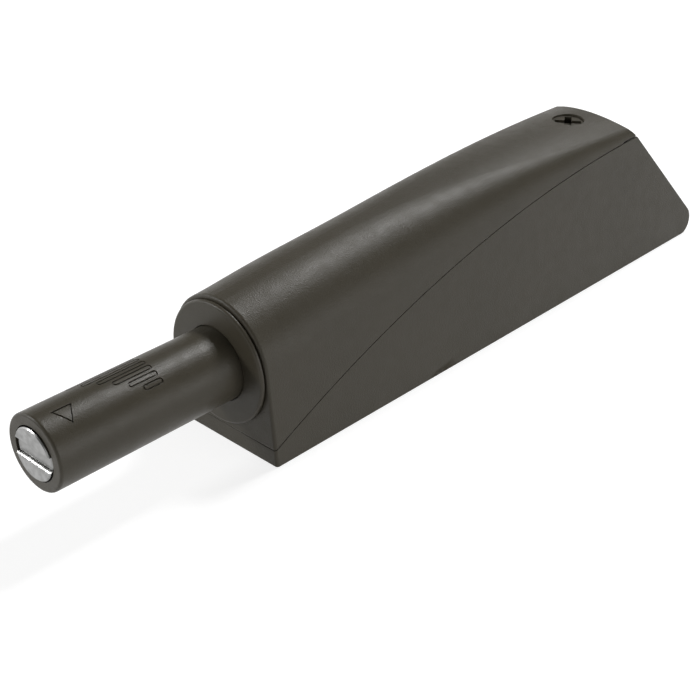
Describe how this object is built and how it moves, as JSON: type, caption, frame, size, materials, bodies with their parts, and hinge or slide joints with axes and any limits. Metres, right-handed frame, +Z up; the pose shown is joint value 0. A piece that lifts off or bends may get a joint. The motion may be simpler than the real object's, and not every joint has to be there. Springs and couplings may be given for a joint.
{
  "type": "push to open catch",
  "caption": "Push to open catch: a sprung plunger with a magnet tip, latched in a round cartridge, in a slim screw-on two-shell housing.",
  "frame": {"origin": "on the mounting face, midway between the two fixing holes", "axes": "+Z up from the mounting face, +Y along the plunger from its tip towards the tail, +X across the housing"},
  "size_m": [0.0158, 0.0981, 0.0187],
  "materials": {
    "housing_plastic": "fine grained",
    "cartridge_plastic": "satin",
    "inner_plastic": "satin",
    "pole_steel": "ground",
    "magnet_metal": "nickel plated",
    "spring_steel": "drawn wire",
    "buffer_rubber": "matt"
  },
  "bodies": {
    "housing": {"base_shell": "housing_plastic", "top_cover": "housing_plastic", "lock_screw": "housing_plastic", "cartridge_sleeve": "cartridge_plastic", "end_cap": "inner_plastic", "return_spring": "spring_steel"},
    "carrier": {"cam_carrier": "inner_plastic", "buffer_ring": "buffer_rubber"},
    "turner": {"click_ring": "inner_plastic"},
    "plunger": {"plunger_tube": "cartridge_plastic", "magnet_holder": "inner_plastic", "magnet": "magnet_metal", "pole_plate_upper": "pole_steel", "pole_plate_lower": "pole_steel"},
    "latch": {"latch_pin": "spring_steel"}
  },
  "joints": [
    {"name": "plunger_push", "type": "slide", "parent": "housing", "child": "carrier", "axis": [0, 1, 0], "range_m": [0, 0.021], "stiffness_N_per_m": 230, "springref_m": -0.002, "deforming": ["return_spring"]},
    {"name": "gap_turn", "type": "hinge", "parent": "carrier", "child": "turner", "pos_m": [0, 0, 0.0092], "axis": [0, 1, 0], "range_deg": [-90, 360]},
    {"name": "tube_advance", "type": "slide", "parent": "turner", "child": "plunger", "axis": [0, -1, 0], "range_m": [-0.001, 0.004]},
    {"name": "latch_swing", "type": "hinge", "parent": "housing", "child": "latch", "pos_m": [0, 0.0232, 0.0109], "axis": [0, 0, 1], "range_deg": [0, 5.8]}
  ],
  "couplings": [
    {"joint": "gap_turn", "follows": "tube_advance", "rad_per_m": 1570.8}
  ]
}
